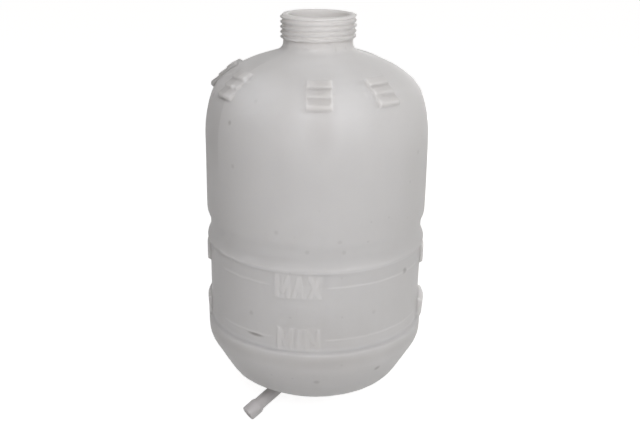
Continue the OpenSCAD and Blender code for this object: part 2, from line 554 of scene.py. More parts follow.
@dataclass
class MouldSeam:
    """Mould seams on both sides: a thin ridge, and a small step between the two halves."""

    section: HalfSection
    az: float = -56.0
    width: float = 0.6
    rise: float = 0.35
    step: float = 0.25
    step_reach: float = 14.0
    low_strength: float = 0.25
    strength_h: tuple[float, float] = (-35.0, 12.0)
    pole_fade: tuple[float, float] = (4.0, 12.0)

    def lift(self, points: WallPoints) -> Array:
        """The ridge is a bell of the distance from the seam.

        The step rises at the seam and dies away within a few centimetres.
        Both are strongest on the shoulder and fade down the wall.

        Args:
            points: Places on the wall.

        Returns:
            The lift in millimetres.
        """
        on_shoulder = ramp(points.z - self.section.shoulder_z, *self.strength_h)
        strength = self.low_strength + (1.0 - self.low_strength) * on_shoulder
        total = np.zeros_like(points.z)
        for az in (self.az, self.az + 180.0):
            across = points.across(az)
            ridge = self.rise * np.exp(-(across / self.width) ** 2)
            dying = np.exp(-(across / self.step_reach) ** 2)
            total += ridge + self.step * np.tanh(across / self.width) * dying
        return total * strength * ramp(points.radius, *self.pole_fade)


@dataclass
class SidePad:
    """One raised pad beside the strap channel.

    Attributes:
        az: Azimuth of its middle.
        low_z: Height of its lower edge.
        high_z: Height of its upper edge.
        low_rise: How far its lower edge stands out.
        high_rise: How far its upper edge stands out.
    """

    az: float
    low_z: float
    high_z: float
    low_rise: float
    high_rise: float
    half_turn: float = 10.0
    edge: float = 1.8

    def lift(self, points: WallPoints, inset: float = 0.0) -> Array:
        """Height of the pad: a plane between its edges, cut by two soft boxes.

        Args:
            points: Places on the wall.
            inset: How far the boxes lie inside the pad's edges.

        Returns:
            The lift in millimetres.
        """
        middle = (self.low_z + self.high_z) / 2.0
        share = np.clip((points.z - self.low_z) / (self.high_z - self.low_z), 0.0, 1.0)
        rise = self.low_rise + (self.high_rise - self.low_rise) * share
        tall = soft_box(points.z - middle, (self.high_z - self.low_z) / 2.0 - inset, self.edge)
        half = math.radians(self.half_turn) * points.radius - inset
        past = np.abs(points.across(self.az)) - half
        return rise * tall * (1.0 - ramp(past, -self.edge / 2.0, self.edge / 2.0))


@dataclass
class StepPad:
    """One stepped pad on the shoulder.

    Attributes:
        az: Azimuth of its middle.
        reach: Lengths along the wall at which the stairs were measured.
        height: Height of the stairs there, above the wall.
        hollow_height: Height of the hollow behind them, above the inner wall.
        width: Width of the pad.
        edge: Softness of its sides.
        edge_h: Height at which its outline ends, for the mask of its edge.
        edge_out: How far the mask's sides lie outside its own.
        edge_soft: Softness of the mask's sides.
        crown_share: Share of the wall's fall that the treads make good.
        hollow_inset: How far the hollow's sides lie inside its own.
        hollow_soft: Softness of the hollow's sides.
    """

    az: float
    reach: Array
    height: Array
    hollow_height: Array
    width: float = 15.7
    edge: float = 1.9
    edge_h: float = 1.2
    edge_out: float = 0.3
    edge_soft: float = 2.6
    crown_share: float = 0.6
    hollow_inset: float = 1.8
    hollow_soft: float = 2.4

    def at(self, points: WallPoints, values: Array) -> Array:
        """Values of the stairs at each place, 0 above and below them."""
        return np.interp(points.along, self.reach, values, left=0.0, right=0.0)

    def lift(self, points: WallPoints) -> Array:
        """Height of the stairs inside the pad's outline, with a flat top across its width.

        The wall falls away from the middle of the pad by about a half of the
        offset squared over the radius, so the pad gains that much height.

        Args:
            points: Places on the wall.

        Returns:
            The lift in millimetres.
        """
        offset = points.across(self.az)
        near = np.abs(offset) < self.width
        height = self.at(points, self.height)
        crown = np.where(near, offset, 0.0) ** 2 / (2.0 * np.maximum(points.radius, 1.0))
        height = np.where(height > 0.0, height + self.crown_share * crown, 0.0)
        return height * soft_box(offset, self.width / 2.0, self.edge)

    def edge_mask(self, points: WallPoints) -> Array:
        """1 along the pad's outline, falling to 0 on both sides: 4 m (1 - m) of its soft shape m.

        Args:
            points: Places on the wall.

        Returns:
            The mask.
        """
        shape = np.clip(self.at(points, self.height) / self.edge_h, 0.0, 1.0)
        shape = shape * soft_box(points.across(self.az), self.width / 2.0 + self.edge_out, self.edge_soft)
        return 4.0 * shape * (1.0 - shape)

    def hollow(self, points: WallPoints) -> Array:
        """Height of the hollow that the blown wall leaves behind the pad."""
        half = self.width / 2.0 - self.hollow_inset
        return self.at(points, self.hollow_height) * soft_box(points.across(self.az), half, self.hollow_soft)


@dataclass
class Stairs:
    """Side view of a stepped pad: a ramp up, then treads and risers."""

    section: HalfSection
    tread_run: float = 5.3
    tread_drop: float = 2.7
    riser_h: float = 2.3
    steps: int = 3
    first_tread_r: float = 53.5
    first_tread_h: float = 45.7
    ramp_run: float = 2.4
    ramp_h: float = 1.7
    lead_run: float = 2.0
    lead_h: float = 1.2
    foot_depth: float = 4.0
    corner_reach: float = 0.34

    def start(self) -> Array:
        """(distance, height) of the upper end of the first tread."""
        return np.array([self.first_tread_r, self.section.shoulder_z + self.first_tread_h])

    def riser_feet(self) -> Array:
        """(distance, height) of the foot of each riser."""
        step = np.array([self.tread_run, -self.tread_drop - self.riser_h])
        return self.start() + np.arange(1, self.steps + 1)[:, None] * step

    def line(self, grain: float, wall: Array, normal: Array) -> Array:
        """The stairs with eased corners, from the wall above them to the wall below.

        Args:
            grain: Distance between the points of the result.
            wall: The wall's own line.
            normal: Its outward normals.

        Returns:
            (distance, height) rows.
        """
        feet = self.riser_feet()
        stairs = np.stack([feet + [0.0, self.riser_h], feet], axis=1).reshape(-1, 2)
        last_foot = feet[-1:] - self.foot_depth * normal[nearest(feet[-1:], wall)]
        ramp_foot = self.start() - [self.ramp_run, self.ramp_h]
        before = ramp_foot - [self.lead_run, self.lead_h]
        line = np.concatenate([[before, ramp_foot, self.start()], stairs, last_foot])
        return eased(by_length(line, grain), grain, self.corner_reach)


class LevelWord(Enum):
    """Plain words moulded beside the level lines, with their height above the foot band."""

    MIN = 10.6
    MAX = 46.3


# Lines of each letter in a box of 1 by 1
STROKES = {
    "M": [[(0.0, 0.0), (0.0, 1.0), (0.5, 0.25), (1.0, 1.0), (1.0, 0.0)]],
    "A": [[(0.0, 0.0), (0.5, 1.0), (1.0, 0.0)], [(0.22, 0.36), (0.78, 0.36)]],
    "X": [[(0.0, 0.0), (1.0, 1.0)], [(0.0, 1.0), (1.0, 0.0)]],
    "I": [[(0.5, 0.0), (0.5, 1.0)]],
    "N": [[(0.0, 0.0), (0.0, 1.0), (1.0, 0.0), (1.0, 1.0)]],
}


@dataclass
class LevelMark:
    """One raised level word on a low plate."""

    section: HalfSection
    word: LevelWord
    left_az: float
    widths: tuple[float, float, float]
    gap: float = 1.3
    height: float = 15.4
    stroke: float = 2.7
    rise: float = 0.48
    plate_rise: float = 0.36
    plate_margin: float = 0.4
    soft: float = 0.9

    def lift(self, points: WallPoints) -> Array:
        """Relief of the plate and its three letters.

        A letter is a soft plateau round each stroke's middle line. The
        distance from a point to a stroke is that to the nearest point of a
        straight piece, and the relief is the highest of all strokes.

        Args:
            points: Places on the wall.

        Returns:
            The lift in millimetres.
        """
        relief = np.zeros_like(points.z)
        total = sum(self.widths) + 2.0 * self.gap
        x_all = points.across(self.left_az)
        y_all = points.z - self.section.foot_top - self.word.value
        near = (np.abs(x_all - total / 2.0) < total) & (np.abs(y_all) < self.height)
        x, y = x_all[near], y_all[near]
        letters = np.zeros_like(x)
        start = 0.0
        inset = self.stroke / 2.0
        for letter, width in zip(self.word.name, self.widths):
            wide, tall = width - self.stroke, self.height - self.stroke
            for line in STROKES[letter]:
                ends = [(start + inset + across * wide, (up - 0.5) * tall) for across, up in line]
                for (ax, ay), (bx, by) in zip(ends, ends[1:]):
                    run, rise = bx - ax, by - ay
                    share = np.clip(((x - ax) * run + (y - ay) * rise) / (run ** 2 + rise ** 2), 0.0, 1.0)
                    away = np.hypot(x - ax - share * run, y - ay - share * rise)
                    letters = np.maximum(letters, soft_box(away, inset, self.soft))
            start += width + self.gap
        plate = soft_box(x - total / 2.0, total / 2.0 + self.plate_margin, self.soft)
        plate = plate * soft_box(y, self.height / 2.0 + self.plate_margin, self.soft)
        relief[near] = self.rise * letters + self.plate_rise * plate
        return relief


@dataclass
class LevelLine:
    """One raised level line between two azimuths."""

    section: HalfSection
    height: float
    from_az: float
    to_az: float
    half_h: float = 1.2
    rise: float = 0.42
    taper: float = 3.0

    def lift(self, points: WallPoints) -> Array:
        """A low ridge: a soft tent across it, tapered at both ends.

        Args:
            points: Places on the wall.

        Returns:
            The lift in millimetres.
        """
        middle = (self.from_az + self.to_az) / 2.0
        half = (self.to_az - self.from_az) / 2.0
        ends = 1.0 - ramp(np.abs(wrapped(points.az - middle)), half - self.taper, half)
        offset = np.abs(points.z - self.section.foot_top - self.height)
        return self.rise * (1.0 - ramp(offset, 0.0, self.half_h)) * ends


class Fine(Enum):
    """Half width and step of the closer columns (degrees) or rings (millimetres) at each relief."""

    SEAM_COLS = (2.0, 0.45)
    PAD_END_COLS = (1.3, 0.5)
    WORD_COLS = (12.6, 0.36)
    STAIR_COLS = (9.0, 0.5)
    HOLLOW_COLS = (10.0, 1.3)
    WORD_ROWS = (8.4, 0.42)
    PAD_EDGE_ROWS = (1.6, 0.5)


@dataclass(frozen=True)
class Band:
    """A band of rings with the same columns.

    Attributes:
        end: Length along the line at which the band ends.
        row_step: Largest distance between its rings.
        col_step: Largest turn between its columns, in degrees.
        fine_rows: Stretches of the line with closer rings: start, end and step.
        fine_cols: Azimuths with closer columns: middle, half width and step.
    """

    end: float
    row_step: float
    col_step: float
    fine_rows: tuple[tuple[float, float, float], ...] = ()
    fine_cols: tuple[tuple[float, float, float], ...] = ()


@dataclass
class TankShell:
    """The blown body with its neck: one closed wall, revolved and then lifted.

    Attributes:
        section: Half section of the wall.
        strap_h: Height of the strap channel's middle above the foot band.
        strap_w: Width of the channel.
        side_az: Azimuth of the side pads, to the right and to the left.
        side_pad_h: Heights of the upper and the lower side pads.
        grain: Distance between the points of the wall's line.
        corner_reach: How far the corners of the neck are eased.
        low_corner_reach: How far all other corners are eased.
        calm_reach: How far the line is eased for the calm normals.
        low_calm: How much the calm normals count below the bead.
        hollow_reach: How much softer the hollows are than the stairs before them.
        hollow_share: Height of the hollows, as a share of the stairs.
        stair_share: Height of the stairs, as a share of the solid model's.
        thread_shading: Painted shade on the thread's crests, and painted light in its grooves the other way.
        pad_shade: Painted shade on the stepped pads.
        riser_shade: Painted shade on their risers, on top of that.
        line_highlight: Painted highlight on the level lines, lighter.
        edge_highlight: Painted light on the pads' outlines, lighter.
        edge_highlight: Tone of the pads' outlines, lighter.
        step_pad_az: Azimuths of the stepped pads.
        neck_easing: From the neck's foot, the heights between which the easing gets finer.
        own_normal: From there, the heights between which the calm normals become the wall's own.
        straight_normal: From there, the heights between which they turn straight out.
        calm_end: From the rim, the heights between which they come to count for nothing.
        calm_full: From the bead, the heights between which they come to count in full.
        relief_end: From the rim, the heights between which all reliefs but the thread fade.
        thread_start: From the neck's foot, the heights between which the thread's tone starts.
        thread_end: From the rim, the heights between which it ends.
        riser_reach: Reach of a riser's tone along the wall.
        panel_h: From the foot band, the heights between which the mesh is fine enough for letters.
        word_az: Azimuth of the letters' middle.
        pad_margin: How far the stairs' fine mesh reaches above and below them.
        places_margin: How far beyond the stairs their heights are worked out, above and below.
        hollow_start: Length over which the hollow begins, from the upper end of the stairs.
        hollow_end: From their lower end, the lengths between which it ends.
        bend_per_row: Largest bend between two rings, in degrees.
        pole_gap: Distance of the first and last ring from the poles.
        band_gap: Distance between two bands.
    """

    section: HalfSection
    strap_h: float = 27.5
    strap_w: float = 27.0
    side_az: float = 89.0
    side_pad_h: tuple[float, float] = (12.0, 13.5)
    grain: float = 0.1
    corner_reach: float = 0.42
    low_corner_reach: float = 0.95
    calm_reach: float = 7.0
    low_calm: float = 0.8
    hollow_reach: float = 1.3
    hollow_share: float = 0.35
    stair_share: float = 0.75
    # Painted shade and painted light on the reliefs, as shares of the colour
    thread_shading: float = 0.17
    pad_shade: float = 0.12
    riser_shade: float = 0.09
    line_highlight: float = 0.08
    edge_highlight: float = 0.08
    step_pad_az: tuple[float, ...] = (-97.0, -57.0, 1.3, 40.0)
    neck_easing: tuple[float, float] = (-6.0, -1.0)
    own_normal: tuple[float, float] = (-9.0, -2.0)
    straight_normal: tuple[float, float] = (-3.0, 1.0)
    calm_end: tuple[float, float] = (-2.5, -0.8)
    calm_full: tuple[float, float] = (4.0, 12.0)
    relief_end: tuple[float, float] = (-4.0, -1.0)
    thread_start: tuple[float, float] = (2.5, 4.0)
    thread_end: tuple[float, float] = (-1.6, -0.6)
    riser_reach: float = 0.7
    panel_h: tuple[float, float] = (2.4, 55.3)
    word_az: float = -8.2
    pad_margin: tuple[float, float] = (1.5, 1.0)
    places_margin: tuple[float, float] = (0.3, 0.4)
    hollow_start: float = 2.0
    hollow_end: tuple[float, float] = (-2.5, -0.5)
    bend_per_row: float = 8.0
    pole_gap: float = 0.4
    band_gap: float = 0.35

    def __post_init__(self) -> None:
        """Works out the smooth line of the wall, and every relief on it."""
        section = self.section
        line, outer_count = section.closed_line()
        even = by_length(line, self.grain)
        on_neck = ramp(even[:, 1] - section.neck_z, *self.neck_easing)[:, None]
        self.line = eased(even, self.grain, self.corner_reach) * on_neck
        self.line += eased(even, self.grain, self.low_corner_reach) * (1.0 - on_neck)
        self.line[[0, -1], 0] = 0.0
        self.along = lengths_of(self.line)
        self.normal = normals_of(self.line)
        self.rim_along = self.along[nearest(line[outer_count - 1:outer_count], self.line)[0]]
        self.outside = self.along <= self.rim_along
        self.outer_along = self.matched_along()
        self.calm = self.calm_line(even)
        self.origin_z = section.foot_top + self.strap_h
        self.thread = ScrewThread(section)
        self.side_pads = self.make_side_pads()
        self.step_pads = self.make_step_pads()
        marks = [LevelMark(section, LevelWord.MAX, -20.0, (9.8, 8.6, 8.4)),
                 LevelMark(section, LevelWord.MIN, -18.6, (10.4, 4.4, 10.0))]
        self.lines = [LevelLine(section, word.value, *ends) for word in LevelWord
                      for ends in ((-56.0, -21.0), (4.6, 70.0))]
        self.reliefs = [MouldSeam(section), *self.side_pads, *self.step_pads, *marks, *self.lines]

    def make_side_pads(self) -> list[SidePad]:
        """Upper and lower pads on both sides of the strap channel.

        Returns:
            The upper and the lower pad, on the right and then on the left.
        """
        upper = self.section.foot_top + self.strap_h + self.strap_w / 2.0
        lower = upper - self.strap_w
        upper_h, lower_h = self.side_pad_h
        pads = []
        for az, rises in ((self.side_az, (3.1, 4.1)), (-self.side_az, (1.9, 2.6))):
            pads.append(SidePad(az, upper, upper + upper_h, 2.2, 2.2))
            pads.append(SidePad(az, lower - lower_h, lower, *rises))
        return pads

    def make_step_pads(self) -> list[StepPad]:
        """Stepped pads on the shoulder, all with the same stairs.

        Each point of the stairs is dropped onto the nearest point of the
        wall's line, which gives its length along the wall and its height.

        Returns:
            One pad for each azimuth.
        """
        wall, normal = self.line[self.outside], self.normal[self.outside]
        shape = Stairs(self.section)
        stairs = shape.line(self.grain, wall, normal)
        foot = nearest(stairs, wall)
        height = np.einsum("ij,ij->i", stairs - wall[foot], normal[foot])
        reach = self.along[self.outside][foot]
        self.riser_along = reach[nearest(shape.riser_feet(), stairs)]
        order = np.argsort(reach, kind="stable")
        reach, height = reach[order], self.stair_share * np.maximum(height[order], 0.0)
        raised = np.flatnonzero(height > 0.0)
        before, after = self.places_margin
        places = np.arange(reach[raised[0]] - before, reach[raised[-1]] + after, self.grain)
        height = np.interp(places, reach, height)
        bell = bell_weights(self.hollow_reach, self.grain, int(3 * self.hollow_reach / self.grain) + 1)
        hollow = self.hollow_share * np.convolve(height, bell, mode="same")
        hollow *= ramp(places - places[0], 0.0, self.hollow_start)
        hollow *= 1.0 - ramp(places - places[-1], *self.hollow_end)
        return [StepPad(az, places, height, hollow) for az in self.step_pad_az]

    def matched_along(self) -> Array:
        """Length along the outer wall that lies across the wall from each point of the line.

        Returns:
            One length for each point of the line.
        """
        every = slice(None, None, 5)
        outer, inner = self.along[self.outside], self.along[~self.outside]
        across = nearest(self.line[~self.outside][every], self.line[self.outside][every])
        return np.concatenate([outer, np.interp(inner, inner[every], outer[every][across])])

    def calm_line(self, even: Array) -> Array:
        """Normals of the wall's line without beads, steps and thread.

        The line is rounded much more than the wall itself. On the neck the
        normal points straight out. Its length says how much it counts: it
        falls to 0 at the rim and is 0 on the inside.

        Args:
            even: The wall's line before its corners were eased.

        Returns:
            One vector for each point of the line.
        """
        z = self.line[:, 1]
        own = ramp(z - self.section.neck_z, *self.own_normal)[:, None]
        straight = ramp(z - self.section.neck_z, *self.straight_normal)[:, None]
        normal = normals_of(eased(even, self.grain, self.calm_reach)) * (1.0 - own)
        normal += self.normal * own * (1.0 - straight) + np.array([[1.0, 0.0]]) * straight
        normal /= np.hypot(*normal.T)[:, None]
        weight = 1.0 - ramp(z - self.section.rim_z, *self.calm_end)
        weight *= self.low_calm + (1.0 - self.low_calm) * ramp(z - self.section.bead_z, *self.calm_full)
        return normal * (weight * self.outside)[:, None]

    def along_of(self, z: float) -> float:
        """Length along the outer wall at which it has the given height."""
        return float(np.interp(z, self.line[self.outside, 1], self.along[self.outside]))

    def inner_along_of(self, outer: float) -> float:
        """Length along the inner wall across from a length along the outer wall."""
        return float(np.interp(-outer, -self.outer_along[~self.outside], self.along[~self.outside]))

    def on_wall(self, az: Array, own: Array) -> WallPoints:
        """Places on the smooth wall, at azimuths in degrees and lengths along the closed line.

        Args:
            az: Azimuths in degrees.
            own: Lengths along the closed line.

        Returns:
            The places.
        """
        az, own = np.broadcast_arrays(az, own)
        radius, z, outer = (np.interp(own, self.along, values) for values in (*self.line.T, self.outer_along))
        return WallPoints(az, own, outer, radius, z, own <= self.rim_along)

    def outwards(self, points: WallPoints, normals: Array) -> tuple[Array, Array]:
        """The part of a line's normals away from the axis, and the part upwards, at each place."""
        return tuple(np.interp(points.own, self.along, values) for values in normals.T)

    def place(self, points: WallPoints) -> Array:
        """Points on the wall with every relief on it.

        Args:
            points: Places on the smooth wall.

        Returns:
            Places in metres in the part's frame, with one more axis of 3.
        """
        out, up = self.outwards(points, self.normal)
        waves = WallWaves().lift(points)
        outer = sum(relief.lift(points) for relief in self.reliefs)
        hollow = sum(pad.hollow(points) for pad in self.step_pads)
        hollow = hollow + sum(pad.lift(points, self.section.wall_t) for pad in self.side_pads)
        total = np.where(points.outside, waves + outer, -waves - hollow)
        total = total * (1.0 - ramp(points.z - self.section.rim_z, *self.relief_end))
        radius = points.radius + total * out + self.thread.lift(points) * points.outside
        return points.turned(radius, points.z + total * up - self.origin_z) * MM

    def calm_normals(self, points: WallPoints) -> Array:
        """Normals of the wall without its small reliefs, turned to each azimuth.

        They count for nothing on the side pads, which are too big.

        Args:
            points: Places on the smooth wall.

        Returns:
            One vector for each place, 0 to 1 long.
        """
        out, up = self.outwards(points, self.calm)
        share = 1.0 - np.clip(sum(pad.lift(points) for pad in self.side_pads) / RAISED, 0.0, 1.0)
        return points.turned(share * out, share * up)

    def relief_tone(self, points: WallPoints) -> Array:
        """Painted shading of the reliefs: painted shade on the raised plastic, so that thick and thin places
        look alike.

        Light that wanders between them evens them out. The thread's crests get painted shade by a share and
        its grooves painted light by the same. The risers get more painted shade, and the level lines and the
        pads' outlines get painted highlights.

        Args:
            points: Places on the smooth wall.

        Returns:
            The painted shading, negative where it is painted light.
        """
        crest = self.thread.lift(points) / (self.thread.crest_r - self.section.root_r)
        on_thread = ramp(points.z - self.section.neck_z, *self.thread_start)
        on_thread = on_thread * (1.0 - ramp(points.z - self.section.rim_z, *self.thread_end))
        raised = np.clip(sum(pad.lift(points) for pad in self.step_pads) / RAISED, 0.0, 1.0)
        risers = sum(np.exp(-((points.along - place) / self.riser_reach) ** 2) for place in self.riser_along)
        lit = sum(line.lift(points) for line in self.lines) / LevelLine.rise
        edges = sum(pad.edge_mask(points) for pad in self.step_pads)
        # Painted shade on thread crests, pads and risers; painted light in thread grooves, on level lines and
        # on pad outlines
        tone = self.thread_shading * (2.0 * crest - 1.0) * on_thread
        tone = tone + (self.pad_shade + self.riser_shade * risers) * raised
        return (tone - self.line_highlight * lit - self.edge_highlight * edges) * points.outside

    def bands(self) -> list[Band]:
        """Bands of the mesh from the outer pole to the inner one, fine where a relief needs it.

        Returns:
            The bands, in the order of the line.
        """
        foot, neck = self.section.foot_top, self.section.neck_z
        seams = tuple((az, *Fine.SEAM_COLS.value) for az in (MouldSeam.az, MouldSeam.az + 180.0))
        pad_ends = tuple((az + side * SidePad.half_turn, *Fine.PAD_END_COLS.value)
                         for az in (self.side_az, -self.side_az) for side in (-1, 1))
        heights = [(foot + word.value, *Fine.WORD_ROWS.value) for word in LevelWord]
        heights += [(edge, *Fine.PAD_EDGE_ROWS.value)
                    for pad in self.side_pads for edge in (pad.low_z, pad.high_z)]
        fine_rows = tuple((self.along_of(z) - reach, self.along_of(z) + reach, step)
                          for z, reach, step in heights)
        word_cols = ((self.word_az, *Fine.WORD_COLS.value),)
        stair_cols = tuple((az, *Fine.STAIR_COLS.value) for az in self.step_pad_az)
        hollow_cols = tuple((az, *Fine.HOLLOW_COLS.value) for az in self.step_pad_az)
        raised = self.step_pads[0].reach[self.step_pads[0].height > 0.0]
        top, bottom = float(raised.min()), float(raised.max())
        panel_low, panel_high = (self.along_of(foot + height) for height in self.panel_h)
        above, below = self.pad_margin
        return [
            Band(panel_low, 4.0, 2.0, (), seams + pad_ends),
            Band(panel_high, 1.6, 2.0, fine_rows, seams + pad_ends + word_cols),
            Band(top - above, 3.2, 2.0, (), seams),
            Band(bottom + below, 0.42, 2.0, (), seams + stair_cols),
            Band(self.along_of(neck + 1.2), 3.0, 2.0, (), seams),
            Band(self.rim_along + 0.6, 0.3, 1.5, (), seams),
            Band(self.inner_along_of(bottom), 6.0, 3.0),
            Band(self.inner_along_of(top), 1.4, 3.0, (), hollow_cols),
            Band(self.along[-1] - self.pole_gap, 6.0, 3.0, (), pad_ends),
        ]

    def band_rows(self, start: float, band: Band) -> Array:
        """Lengths of a band's rings: no bend between two rings is more than a few degrees.

        Args:
            start: Length at which the band starts.
            band: The band.

        Returns:
            Lengths along the closed line.
        """
        inside = (self.along >= start) & (self.along <= band.end)
        along = np.concatenate([[start], self.along[inside], [band.end]])
        angle = np.unwrap(np.arctan2(self.normal[:, 1], self.normal[:, 0]))
        bend = np.abs(np.gradient(angle, self.along))
        allowed = math.radians(self.bend_per_row * (1.0 if start < self.rim_along else 2.0))
        density = np.maximum(1.0 / band.row_step, np.interp(along, self.along, bend) / allowed)
        for low, high, step in band.fine_rows:
            density = np.where((along > low) & (along < high), np.maximum(density, 1.0 / step), density)
        return spread(density, along)

    @staticmethod
    def band_cols(band: Band) -> Array:
        """Azimuths of a band's columns, with the closing one at the end.

        Args:
            band: The band.

        Returns:
            Azimuths in degrees.
        """
        az = np.linspace(-180.0, 180.0, AZ_SAMPLES)
        density = np.full_like(az, 1.0 / band.col_step)
        for middle, half, step in band.fine_cols:
            near = np.abs(wrapped(az - middle)) < half
            density = np.where(near, np.maximum(density, 1.0 / step), density)
        return spread(density, az)

    def build(self) -> bpy.types.Object:
        """Makes the shell as one closed mesh with a map of the unrolled wall.

        Each band is a grid of azimuth by length along the closed line. A
        zipper of triangles joins two bands, and a fan closes each pole. The
        map gives azimuth times wall radius, and length along the line.

        Returns:
            The shell's object.
        """
        net = WallNet(self.section.wall_r)
        start = self.pole_gap
        for band in self.bands():
            along, az = self.band_rows(start, band), self.band_cols(band)
            points = self.on_wall(az[None, :-1], along[:, None])
            net.add_band(az, along, self.place(points), self.calm_normals(points), self.relief_tone(points))
            start = band.end + self.band_gap
        poles = self.place(self.on_wall(np.zeros(2), self.along[[0, -1]]))
        return net.closed(poles, self.along[-1]).to_object("tank_shell")


@dataclass
class WallNet:
    """Gathers the points and faces of the shell, band by band.

    Each end ring of a band is kept as its azimuths, its length along the
    wall and the number of its first point.
    """

    wall_r: float
    points: list[Array] = field(default_factory=list)
    calm: list[Array] = field(default_factory=list)
    tone: list[Array] = field(default_factory=list)
    quads: list[Array] = field(default_factory=list)
    quad_uv: list[Array] = field(default_factory=list)
    triangles: list[Array] = field(default_factory=list)
    triangle_uv: list[Array] = field(default_factory=list)
    rings: list[tuple[Array, float, int]] = field(default_factory=list)
    count: int = 0

    def on_map(self, az: Array, along: Array | float) -> Array:
        """Place on the map: azimuth times wall radius, and length, in metres."""
        az, along = np.broadcast_arrays(az, along)
        return np.stack([np.radians(az) * self.wall_r, along], axis=-1) * MM

    def add_band(self, az: Array, along: Array, grid: Array, calm: Array, tone: Array) -> None:
        """Adds a band, and zips it to the band before.

        Args:
            az: Azimuths of its columns, with the closing one.
            along: Lengths of its rings.
            grid: Its points, rings by columns by 3.
            calm: Their calm normals.
            tone: Their painted shading, negative for painted light.
        """
        rows, cols = grid.shape[:2]
        first = (az, float(along[0]), self.count)
        if self.rings:
            self.zip_rings(self.rings[-1], first)
        self.points.append(grid.reshape(-1, 3))
        self.calm.append(calm.reshape(-1, 3))
        self.tone.append(tone.ravel())
        self.quads.append(ring_quads(rows, cols) + self.count)
        low, high = along[:-1, None], along[1:, None]
        left, right = az[None, :-1], az[None, 1:]
        corners = ((left, low), (right, low), (right, high), (left, high))
        self.quad_uv.append(np.stack([self.on_map(*corner) for corner in corners], axis=2).reshape(-1, 4, 2))
        self.count += rows * cols
        self.rings += [first, (az, float(along[-1]), self.count - cols)]

    def add_triangles(self, ring: tuple[Array, float, int], tips: Array | int, tip_az: Array,
                      tip_along: float, turned: bool) -> None:
        """Adds a triangle on each edge of a ring.

        Args:
            ring: The ring.
            tips: Number of each triangle's third corner.
            tip_az: Azimuths of these corners on the map.
            tip_along: Their length on it.
            turned: Whether the first two corners change places.
        """
        az, along, start = ring
        here = np.arange(len(az) - 1)
        there = (here + 1) % len(here)
        order = [1, 0, 2] if turned else [0, 1, 2]
        corners = np.stack(np.broadcast_arrays(start + here, start + there, tips), axis=1)
        places = [self.on_map(az[:-1], along), self.on_map(az[1:], along), self.on_map(tip_az, tip_along)]
        self.triangles.append(corners[:, order])
        self.triangle_uv.append(np.stack(places, axis=1)[:, order])

    def zip_rings(self, low: tuple[Array, float, int], high: tuple[Array, float, int]) -> None:
        """Fills the gap between two rings whose columns differ.

        Each edge of one ring makes a triangle with the point of the other
        ring that the walk round both has reached when it comes to the
        middle of that edge.

        Args:
            low: The last ring of one band.
            high: The first ring of the next.
        """
        for near, (az, along, start), side in ((low, high, "left"), (high, low, "right")):
            reached = np.searchsorted(middles(az), middles(near[0]), side=side)
            self.add_triangles(near, start + reached % (len(az) - 1), az[reached], along, near is high)

    def closed(self, poles: Array, end: float) -> Skin:
        """Closes both ends with a fan of triangles.

        Args:
            poles: Places of the outer and the inner pole.
            end: Length of the whole line.

        Returns:
            The finished skin.
        """
        first, last = self.rings[0], self.rings[-1]
        self.add_triangles(first, self.count, middles(first[0]), 0.0, True)
        self.add_triangles(last, self.count + 1, middles(last[0]), end, False)
        parts = ([*self.points, poles], self.quads, self.triangles, self.quad_uv, self.triangle_uv,
                 [*self.calm, POLE_CALM], [*self.tone, np.zeros(2)])
        return Skin(*(np.concatenate(part) for part in parts))


